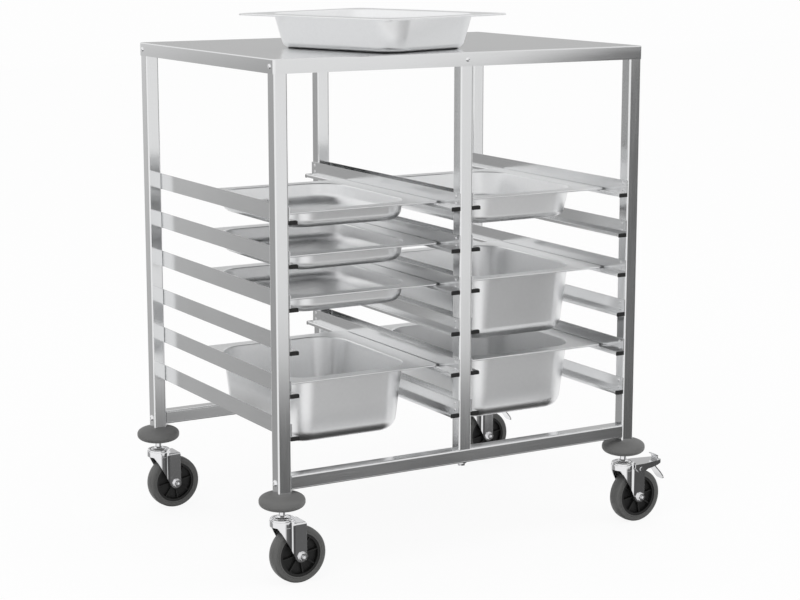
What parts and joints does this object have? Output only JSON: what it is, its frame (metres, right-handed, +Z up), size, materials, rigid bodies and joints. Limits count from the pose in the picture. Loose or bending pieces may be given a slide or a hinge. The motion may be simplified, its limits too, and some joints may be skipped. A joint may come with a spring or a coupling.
{
  "type": "tray trolley",
  "caption": "Steel trolley with a flat worktop, two bays of runner pairs holding gastronorm trays, and swivel casters, two of them braked.",
  "frame": {"origin": "on the floor, under the middle of the trolley's bounding box", "axes": "+Z up, the long front face looks along -Y, +X to the right when facing the front"},
  "size_m": [0.8419, 0.603, 0.9507],
  "materials": {
    "frame_steel": "brushed",
    "tray_steel": "polished",
    "bright_fasteners": "polished",
    "caster_plate": "bright zinc",
    "grey_rubber": "satin",
    "grey_rubber_tyre": "satin",
    "black_plastic": "matte"
  },
  "bodies": {
    "frame": {"worktop": "frame_steel", "front_left_post": "frame_steel", "front_middle_post": "frame_steel", "front_right_post": "frame_steel", "rear_left_post": "frame_steel", "rear_middle_post": "frame_steel", "rear_right_post": "frame_steel", "front_beam": "frame_steel", "rear_beam": "frame_steel", "left_bay_runners_1": "frame_steel", "left_bay_runners_2": "frame_steel", "left_bay_runners_3": "frame_steel", "left_bay_runners_4": "frame_steel", "left_bay_runners_5": "frame_steel", "left_bay_runners_6": "frame_steel", "right_bay_runners_1": "frame_steel", "right_bay_runners_2": "frame_steel", "right_bay_runners_3": "frame_steel", "right_bay_runners_4": "frame_steel", "right_bay_runners_5": "frame_steel", "right_bay_runners_6": "frame_steel", "runner_end_caps": "black_plastic", "runner_rivets": "bright_fasteners", "worktop_screws": "bright_fasteners", "beam_bolts": "bright_fasteners", "tube_end_inserts": "bright_fasteners", "caster_inserts": "bright_fasteners", "corner_bumpers": "grey_rubber", "caster_stems": "bright_fasteners", "caster_race_cups": "caster_plate", "caster_race_balls": "bright_fasteners", "kingpin_nuts": "bright_fasteners"},
    "front_left_swivel": {"front_left_fork": "caster_plate", "front_left_axle": "bright_fasteners"},
    "front_left_wheel": {"front_left_hub": "black_plastic", "front_left_tyre": "grey_rubber_tyre"},
    "front_right_swivel": {"front_right_fork": "caster_plate", "front_right_axle": "bright_fasteners", "front_right_brake_pin": "bright_fasteners"},
    "front_right_wheel": {"front_right_hub": "black_plastic", "front_right_tyre": "grey_rubber_tyre"},
    "front_right_brake": {"front_right_brake_lever": "caster_plate"},
    "rear_left_swivel": {"rear_left_fork": "caster_plate", "rear_left_axle": "bright_fasteners"},
    "rear_left_wheel": {"rear_left_hub": "black_plastic", "rear_left_tyre": "grey_rubber_tyre"},
    "rear_right_swivel": {"rear_right_fork": "caster_plate", "rear_right_axle": "bright_fasteners", "rear_right_brake_pin": "bright_fasteners"},
    "rear_right_wheel": {"rear_right_hub": "black_plastic", "rear_right_tyre": "grey_rubber_tyre"},
    "rear_right_brake": {"rear_right_brake_lever": "caster_plate"},
    "left_tray_1_body": {"left_tray_1": "tray_steel"},
    "left_tray_2_body": {"left_tray_2": "tray_steel"},
    "left_tray_3_body": {"left_tray_3": "tray_steel"},
    "left_tray_5_body": {"left_tray_5": "tray_steel"},
    "right_tray_1_body": {"right_tray_1": "tray_steel"},
    "right_tray_3_body": {"right_tray_3": "tray_steel"},
    "right_tray_5_body": {"right_tray_5": "tray_steel"},
    "worktop_tray_body": {"worktop_tray": "tray_steel"}
  },
  "joints": [
    {"name": "front_left_swivel_turn", "type": "hinge", "parent": "frame", "child": "front_left_swivel", "pos_m": [-0.381, -0.2615, 0.12], "axis": [0, 0, 1], "continuous": true},
    {"name": "front_left_wheel_roll", "type": "hinge", "parent": "front_left_swivel", "child": "front_left_wheel", "pos_m": [-0.353, -0.2615, 0.05], "axis": [0, 1, 0], "continuous": true},
    {"name": "front_right_swivel_turn", "type": "hinge", "parent": "frame", "child": "front_right_swivel", "pos_m": [0.332, -0.2615, 0.12], "axis": [0, 0, 1], "continuous": true},
    {"name": "front_right_wheel_roll", "type": "hinge", "parent": "front_right_swivel", "child": "front_right_wheel", "pos_m": [0.36, -0.2615, 0.05], "axis": [0, 1, 0], "continuous": true},
    {"name": "front_right_brake_press", "type": "hinge", "parent": "front_right_swivel", "child": "front_right_brake", "pos_m": [0.36, -0.2615, 0.104], "axis": [0, 1, 0], "range_deg": [0, 9]},
    {"name": "rear_left_swivel_turn", "type": "hinge", "parent": "frame", "child": "rear_left_swivel", "pos_m": [-0.381, 0.2615, 0.12], "axis": [0, 0, 1], "continuous": true},
    {"name": "rear_left_wheel_roll", "type": "hinge", "parent": "rear_left_swivel", "child": "rear_left_wheel", "pos_m": [-0.353, 0.2615, 0.05], "axis": [0, 1, 0], "continuous": true},
    {"name": "rear_right_swivel_turn", "type": "hinge", "parent": "frame", "child": "rear_right_swivel", "pos_m": [0.332, 0.2615, 0.12], "axis": [0, 0, 1], "continuous": true},
    {"name": "rear_right_wheel_roll", "type": "hinge", "parent": "rear_right_swivel", "child": "rear_right_wheel", "pos_m": [0.36, 0.2615, 0.05], "axis": [0, 1, 0], "continuous": true},
    {"name": "rear_right_brake_press", "type": "hinge", "parent": "rear_right_swivel", "child": "rear_right_brake", "pos_m": [0.36, 0.2615, 0.104], "axis": [0, 1, 0], "range_deg": [0, 9]},
    {"name": "left_tray_1_slide", "type": "slide", "parent": "frame", "child": "left_tray_1_body", "axis": [0, -1, 0], "range_m": [-0.12, 0.2]},
    {"name": "left_tray_2_slide", "type": "slide", "parent": "frame", "child": "left_tray_2_body", "axis": [0, -1, 0], "range_m": [-0.12, 0.2]},
    {"name": "left_tray_3_slide", "type": "slide", "parent": "frame", "child": "left_tray_3_body", "axis": [0, -1, 0], "range_m": [-0.12, 0.2]},
    {"name": "left_tray_5_slide", "type": "slide", "parent": "frame", "child": "left_tray_5_body", "axis": [0, -1, 0], "range_m": [-0.12, 0.2]},
    {"name": "right_tray_1_slide", "type": "slide", "parent": "frame", "child": "right_tray_1_body", "axis": [0, -1, 0], "range_m": [-0.12, 0.2]},
    {"name": "right_tray_3_slide", "type": "slide", "parent": "frame", "child": "right_tray_3_body", "axis": [0, -1, 0], "range_m": [-0.12, 0.2]},
    {"name": "right_tray_5_slide", "type": "slide", "parent": "frame", "child": "right_tray_5_body", "axis": [0, -1, 0], "range_m": [-0.12, 0.2]},
    {"name": "worktop_tray_lift", "type": "slide", "parent": "frame", "child": "worktop_tray_body", "axis": [0, 0, 1], "range_m": [0, 0.2]}
  ]
}
